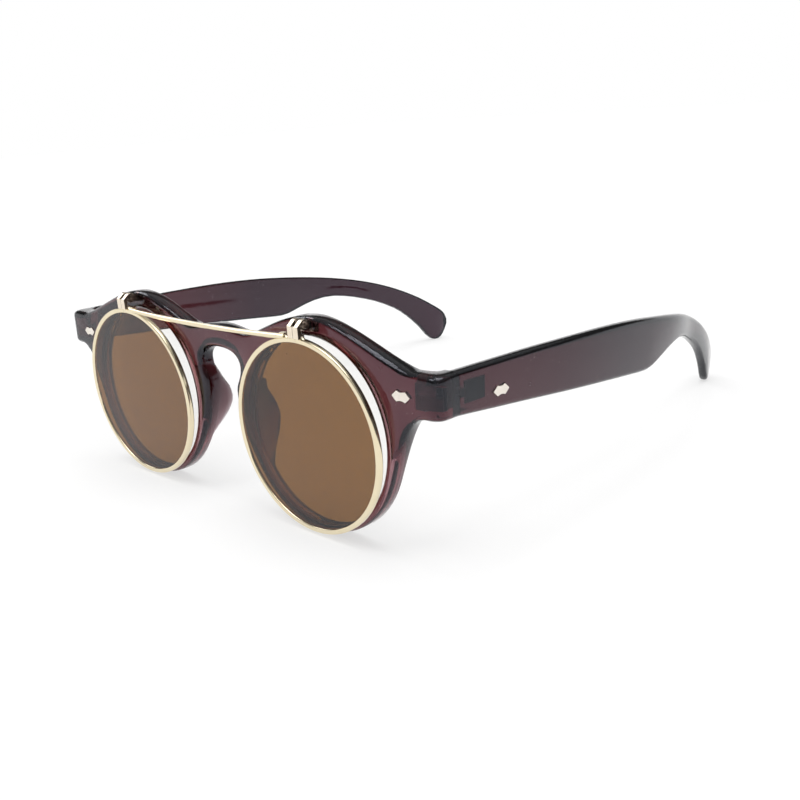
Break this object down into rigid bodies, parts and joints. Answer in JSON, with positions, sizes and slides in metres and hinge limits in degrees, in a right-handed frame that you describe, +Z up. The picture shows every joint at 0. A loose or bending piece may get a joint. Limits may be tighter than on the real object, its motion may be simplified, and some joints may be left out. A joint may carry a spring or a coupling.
{
  "type": "flip up sunglasses",
  "caption": "Round sunglasses: moulded front with keyhole bridge, wide folding temples, clear lenses, and tinted lenses in metal rims that flip up on brow hinges.",
  "frame": {"origin": "on the table, in the middle of the space the glasses take up", "axes": "+X to the wearer's left, +Y to the back along the temples, +Z up; the glasses stand on the lower rims and the temple tips, open, with the flip lenses down"},
  "size_m": [0.1464, 0.1571, 0.0507],
  "materials": {
    "frame_plastic": "polished translucent dark red-brown plastic",
    "clear_lens": "clear polished lens",
    "tinted_lens": "brown tinted polished lens",
    "gold_metal": "polished pale gold plate",
    "rivet_metal": "polished pale metal",
    "hinge_metal": "tumbled nickel silver"
  },
  "bodies": {
    "front": {"front_frame": "frame_plastic", "left_clear_lens": "clear_lens", "left_front_hinge_leaf": "hinge_metal", "left_hinge_screw": "hinge_metal", "left_front_rivet": "rivet_metal", "left_flip_lug": "gold_metal", "right_clear_lens": "clear_lens", "right_front_hinge_leaf": "hinge_metal", "right_hinge_screw": "hinge_metal", "right_front_rivet": "rivet_metal", "right_flip_lug": "gold_metal"},
    "left_temple": {"left_temple": "frame_plastic", "left_temple_hinge_leaf": "hinge_metal", "left_temple_rivet": "rivet_metal"},
    "right_temple": {"right_temple": "frame_plastic", "right_temple_hinge_leaf": "hinge_metal", "right_temple_rivet": "rivet_metal"},
    "flip": {"flip_brow_bar": "gold_metal", "left_flip_rim": "gold_metal", "left_flip_lens": "tinted_lens", "left_flip_outer_fork": "gold_metal", "left_flip_inner_fork": "gold_metal", "left_flip_screw": "gold_metal", "right_flip_rim": "gold_metal", "right_flip_lens": "tinted_lens", "right_flip_outer_fork": "gold_metal", "right_flip_inner_fork": "gold_metal", "right_flip_screw": "gold_metal"}
  },
  "joints": [
    {"name": "left_temple_fold", "type": "hinge", "parent": "front", "child": "left_temple", "pos_m": [0.0642, -0.06726, 0.03673], "axis": [0, 0.0415, 0.9991], "range_deg": [0, 88]},
    {"name": "right_temple_fold", "type": "hinge", "parent": "front", "child": "right_temple", "pos_m": [-0.0642, -0.06726, 0.03673], "axis": [0, -0.0415, -0.9991], "range_deg": [0, 79]},
    {"name": "flip_up", "type": "hinge", "parent": "front", "child": "flip", "pos_m": [0, -0.07624, 0.04942], "axis": [-1, 0, 0], "range_deg": [0, 92]}
  ]
}
